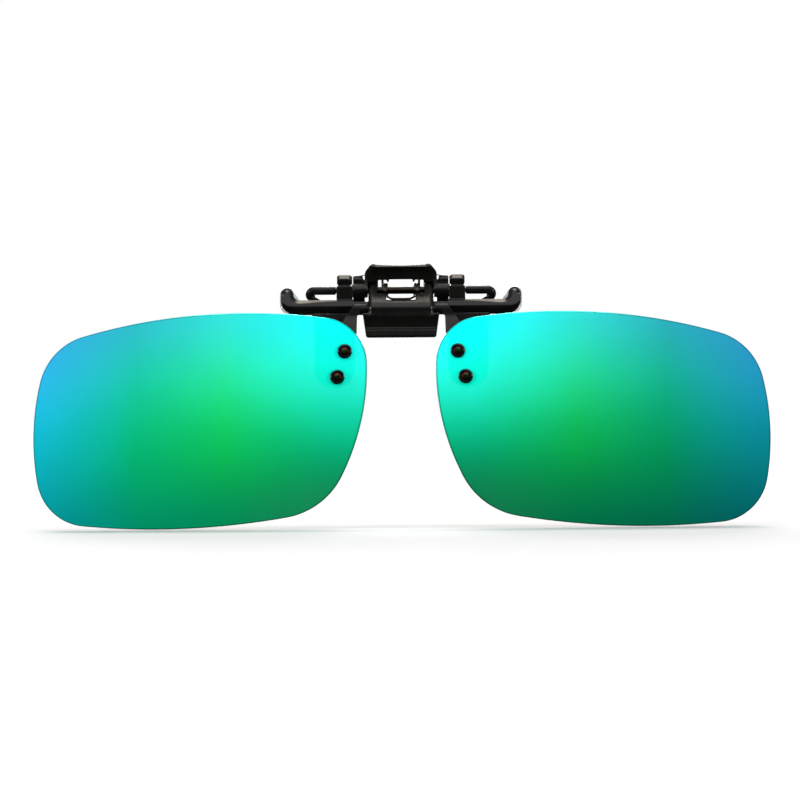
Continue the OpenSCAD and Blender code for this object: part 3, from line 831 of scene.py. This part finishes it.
def barrel_ends(x, y, z):
    """The skin's y and z once the barrel's ends, and the ears that rise from them, are
    rounded off towards the line between the two joints' axes."""
    along = np.clip((y * FLIP_Y + z * FLIP_Z) / (FLIP_Y ** 2 + FLIP_Z ** 2), 0, 1)
    off_y = y - along * FLIP_Y
    off_z = z - along * FLIP_Z
    radius = between(BASE_EAR_R, BARREL_R, along)
    near = (x > END_IN) & (x < BASE_EAR_OUT + 0.1) & (np.hypot(off_y, off_z) < radius + 0.2)
    pull = END_ROUND * np.clip((x - END_IN) / (BASE_EAR_OUT - END_IN), 0, 1) ** 2 / radius
    pull = np.where(near, pull * smooth_step(z, -5.0, -4.3), 0)
    return y - off_y * pull, z - off_z * pull


def shape_base(points):
    """Gives the base's skin the facets, bevels and roundings that its CAD shape lacks."""
    x = np.abs(points[:, 0])
    z = points[:, 2]
    y = np.maximum(arm_facet(x, points[:, 1], z), top_bevel(x, z))
    y, z = outer_post_tops(x, y, z)
    y, z = barrel_ends(x, y, z)
    return np.stack((points[:, 0], y, z), axis=1)


place("base_moulding", moulded(cad_copy("clip_base"), shape=shape_base), [PLASTIC], "clip",
      ["clip_base"], MOULDED_SHARP)

TAB_HALF = 6.5
TAB_SHOULDER = 3.15
TAB_TOP = 4.65
TAB_ROUND = 1.1
TAB_CENTRE = (-3.9, 1.6)
TAB_FRONT_R = 2.95
TAB_REAR_R = 4.1
TAB_RIM = 0.65
TAB_RIM_SLOPE = 0.5
TAB_FOOT = 1.1
TAB_SIDES_IN = 4.5
INNER_POST_FLAT = 2.15
INNER_POST_OUT = 8.6
INNER_POST_FOOT = 1.8


def round_tab_corners(x, z):
    """The skin's x and z once both ends of the tab's cut corners are rounded off."""
    reach = TAB_HALF + TAB_SHOULDER - math.sqrt(2) * TAB_ROUND
    for centre, steep in (((reach - (TAB_TOP - TAB_ROUND), TAB_TOP - TAB_ROUND), 1),
                          ((TAB_HALF - TAB_ROUND, reach - (TAB_HALF - TAB_ROUND)), -1)):
        right = x - centre[0]
        up = z - centre[1]
        far = np.hypot(right, up)
        beyond = (right > 0) & (up > 0) & (steep * (up - right) > 0) & (far > TAB_ROUND)
        x = np.where(beyond, centre[0] + right * TAB_ROUND / far, x)
        z = np.where(beyond, centre[1] + up * TAB_ROUND / far, z)
    return x, z


def tab_rim(x, y, z):
    """How far the tab's front is pushed back along its sides and cut corners, in y and z."""
    inset = np.minimum(TAB_HALF - x, (TAB_HALF + TAB_SHOULDER - x - z) / math.sqrt(2))
    out = np.hypot(y - TAB_CENTRE[0], z - TAB_CENTRE[1])
    middle_r = (TAB_FRONT_R + TAB_REAR_R) / 2
    on_front = (z > TAB_FOOT) & (x > TAB_SIDES_IN) & (out < middle_r) & (y > TAB_CENTRE[0])
    push = np.where(on_front, TAB_RIM_SLOPE * np.clip(TAB_RIM - inset, 0, TAB_RIM), 0)
    return push * (y - TAB_CENTRE[0]) / out, push * (z - TAB_CENTRE[1]) / out


def inner_post_fronts(x, y, z):
    """How far the fronts of the posts beside the tab are cut back at a slant, in y and z."""
    on_post = (x > TAB_HALF) & (x < INNER_POST_OUT) & (z > INNER_POST_FOOT)
    past = z * math.sin(POST_LEAN) - y * math.cos(POST_LEAN) - INNER_POST_FLAT
    shaved = np.where(on_post, np.maximum(past, 0), 0)
    return shaved * math.cos(POST_LEAN), -shaved * math.sin(POST_LEAN)


def shape_lever(points):
    """Gives the lever's skin the roundings and bevels that its CAD shape lacks."""
    y = points[:, 1]
    x, z = round_tab_corners(np.abs(points[:, 0]), points[:, 2])
    rim = tab_rim(x, y, z)
    fronts = inner_post_fronts(x, y, z)
    return np.stack((np.copysign(x, points[:, 0]), y + rim[0] + fronts[0],
                     z + rim[1] + fronts[1]), axis=1)


place("lever_moulding", moulded(cad_copy("thumb_lever"), shape=shape_lever), [PLASTIC], "lever",
      ["thumb_lever"], MOULDED_SHARP)


def arc2(centre, radius, a, b, steps):
    return [Vector((centre[0] + radius * math.cos(a + (b - a) * i / steps),
                    centre[1] + radius * math.sin(a + (b - a) * i / steps)))
            for i in range(steps + 1)]


PAD_UPPER = (ARM_REACH - HORN_R, -0.7)
PAD_UPPER_R = 1.3
PAD_LOWER = (ARM_REACH - 1.7, -2.45)
PAD_LOWER_R = 1.85


def pad_mesh():
    """A silicone pad with soft edges, round an upper and a lower circle."""
    along = Vector(PAD_LOWER) - Vector(PAD_UPPER)
    heading = math.atan2(along.y, along.x)
    spread = math.acos((PAD_UPPER_R - PAD_LOWER_R) / along.length)
    ease = 0.15
    bm = bmesh.new()
    rings = []
    for y, inset in ((-PAD_T, 0.04), (-0.35, 0.0), (-ease, 0.0), (-0.04, 0.05), (0, ease)):
        points = (arc2(PAD_LOWER, PAD_LOWER_R - inset, heading - spread, heading + spread, 28)
                  + arc2(PAD_UPPER, PAD_UPPER_R - inset, heading + spread,
                         heading - spread + 2 * math.pi, 20))
        rings.append([bm.verts.new((p.x, y, p.y)) for p in points])
    for ring, following in zip(rings, rings[1:]):
        for k in range(len(ring)):
            j = (k + 1) % len(ring)
            bm.faces.new((ring[k], ring[j], following[j], following[k]))
    bm.faces.new(rings[0])
    bm.faces.new(rings[-1])
    return mesh_of(bm)


def in_loop(x, down):
    return Vector((x, down * math.sin(PRONG_TILT), -down * math.cos(PRONG_TILT)))


def prong_path(upper_x, lower_x=None):
    """Centre line of the wire loop from the axle round to its lower run, or to the end of
    the sleeve if no lower_x is given."""
    bend_x = PRONG_REACH - SLEEVE_R - PRONG_BEND_R
    lean = Vector((math.sin(PRONG_FLARE), math.cos(PRONG_FLARE)))
    slant_start = Vector((bend_x, PRONG_BEND_R)) + PRONG_BEND_R * lean
    slant = ((PRONG_DROP - slant_start.y) / math.sin(PRONG_FLARE)
             - PRONG_EASE_R * math.tan(PRONG_FLARE / 2))
    slant_end = slant_start + slant * Vector((-math.cos(PRONG_FLARE), math.sin(PRONG_FLARE)))
    ease = slant_end - PRONG_EASE_R * lean
    quarter = math.pi / 2
    flat = ([Vector((upper_x, 0))]
            + arc2((bend_x, PRONG_BEND_R), PRONG_BEND_R, -quarter, quarter - PRONG_FLARE, 24))
    if lower_x is None:
        flat.append(slant_start + SLEEVE_TAIL * (slant_end - slant_start).normalized())
    else:
        flat += arc2(ease, PRONG_EASE_R, quarter - PRONG_FLARE, quarter, 12)
        flat.append(Vector((lower_x, PRONG_DROP)))
    return [in_loop(p.x, p.y) for p in flat]


for name, side in SIDES:
    place("pad_detail_" + name, mirrored(pad_mesh(), side), [SILICONE], "clip",
          ["front_pad_" + name])
    wire = prong_path(PIN_HALF + 0.1, LOWER_WIRE_START)
    place("prong_wire_detail_" + name,
          mirrored(swept(wire, rod_stations(path_length(wire), PRONG_WIRE_R)), side),
          [DARK_STEEL], "lever", ["prong_wire_" + name])
    tube = prong_path(OUTER_EAR_OUT + 0.15)
    place("prong_sleeve_detail_" + name,
          mirrored(swept(tube, pipe_stations(path_length(tube), SLEEVE_R, SLEEVE_BORE_R), 32),
                   side),
          [SLEEVE], "lever", ["prong_sleeve_" + name])

# The spring's coils at each side, and the corner of the bridge between them
COIL_R = 1.2
COIL_OUT = 3.3
COIL_IN = 2.36
COIL_TURN = math.radians(823)
COIL_STEPS = 36
BRIDGE = Vector((1.35, -2.4, -1.6))


def spring_path():
    """Centre line of the double torsion spring, from one outer leg to the other."""
    leg = [Vector((COIL_OUT, y, z)) for y, z in ((0.26, 2.9), (0.85, 1.8), (1.16, 0.8))]
    coil = [Vector((COIL_OUT + (COIL_IN - COIL_OUT) * i / COIL_STEPS,
                    COIL_R * math.cos(COIL_TURN * i / COIL_STEPS),
                    -COIL_R * math.sin(COIL_TURN * i / COIL_STEPS)))
            for i in range(COIL_STEPS + 1)]
    run = [Vector((2.15, -1.0, -1.3)), Vector((1.7, BRIDGE.y + 0.3, BRIDGE.z + 0.05)), BRIDGE]
    half = leg + coil + run
    return catmull(half + [Vector((-p.x, p.y, p.z)) for p in reversed(half)], 5)


spring = spring_path()
place("spring_detail", swept(spring, rod_stations(path_length(spring), SPRING_R, 0.15), 16),
      [SPRING_STEEL], "clip", ["torsion_spring"])
pin = [Vector((-PIN_HALF, 0, 0)), Vector((PIN_HALF, 0, 0))]
place("pin_detail", swept(pin, rod_stations(2 * PIN_HALF, AXLE_R), 40), [DARK_STEEL], "lever",
      ["axle_pin"])
shaft = [Vector((-SHAFT_HALF, FLIP_Y, FLIP_Z)), Vector((SHAFT_HALF, FLIP_Y, FLIP_Z))]
place("shaft_detail", swept(shaft, rod_stations(2 * SHAFT_HALF, SHAFT_R), 40), [DARK_STEEL],
      "lenses", ["flip_shaft"])


# ---- stage, light and camera ----

# Just under the lenses, and half the floor's width, both in metres
FLOOR_Z = cad_box[0].z - 0.0002
FLOOR_HALF = 6.0


def floor_material():
    """Plain pale matt floor."""
    mat, tree, bsdf = shader("pale_floor")
    soft = fit(tree, noise_mm(tree, 60.0, 2.0), 0.3, 0.7, 0.0, 1.0)
    tree.links.new(mixed(tree, soft, rgb("a6a9ad"), rgb("a8abaf")), bsdf.inputs["Base Color"])
    bsdf.inputs["Roughness"].default_value = 0.9
    bsdf.inputs["Specular IOR Level"].default_value = 0.1
    return mat


bm = bmesh.new()
bmesh.ops.create_grid(bm, x_segments=8, y_segments=8, size=FLOOR_HALF)
bmesh.ops.translate(bm, verts=bm.verts[:], vec=(0, 0, FLOOR_Z))
floor_mesh = mesh_of(bm)
floor_mesh.materials.append(floor_material())
floor = bpy.data.objects.new("floor", floor_mesh)
scene.collection.objects.link(floor)
floor.visible_glossy = False


def sun(name, azimuth, elevation, strength, spread, colour=(1, 1, 1)):
    """A soft distant light that comes from azimuth and elevation, in degrees."""
    light = bpy.data.lights.new(name, "SUN")
    light.energy = strength
    light.angle = math.radians(spread)
    light.color = colour
    obj = bpy.data.objects.new(name, light)
    a = math.radians(azimuth)
    e = math.radians(elevation)
    towards = Vector((math.sin(a) * math.cos(e), -math.cos(a) * math.cos(e), math.sin(e)))
    obj.rotation_euler = towards.to_track_quat("Z", "Y").to_euler()
    scene.collection.objects.link(obj)


sun("top", 180, 68, 3.2, 30, (1.0, 0.9, 0.78))
sun("back", 184, 17, 2.4, 34)
sun("side_left", -68, 12, 1.9, 16)
sun("side_right", 68, 12, 1.8, 16)
sun("front", 0, 55, 1.9, 60)


def grey(level):
    return (level, level, level, 1)


# The camera sees white; the object is lit by a dome, dark at the horizon and pale overhead
world = bpy.data.worlds.new("studio")
scene.world = world
world.use_nodes = True
tree = world.node_tree
ground = tree.nodes["Background"]
coords = add(tree, "ShaderNodeTexCoord").outputs["Generated"]
height = add(tree, "ShaderNodeSeparateXYZ", {"Vector": coords}).outputs["Z"]
sky = mixed(tree, fit(tree, height, 0.0, 1.0, 0.0, 1.0), grey(0.04), grey(0.7))
seen = add(tree, "ShaderNodeLightPath").outputs["Is Camera Ray"]
tree.links.new(mixed(tree, seen, sky, grey(1)), ground.inputs["Color"])
scene.view_settings.view_transform = "Standard"

# The camera's place, in metres
CAMERA_AT = (-0.0003, -1.002, -0.0198)
CAMERA_ROLL = math.radians(0.43)
camera = bpy.data.cameras.new("camera")
camera.lens = 250
camera.sensor_width = 36
camera.clip_start = 0.01
camera.clip_end = 50
camera_object = bpy.data.objects.new("camera", camera)
camera_object.location = CAMERA_AT
camera_object.rotation_euler = (math.radians(90), CAMERA_ROLL, 0)
scene.collection.objects.link(camera_object)
scene.camera = camera_object
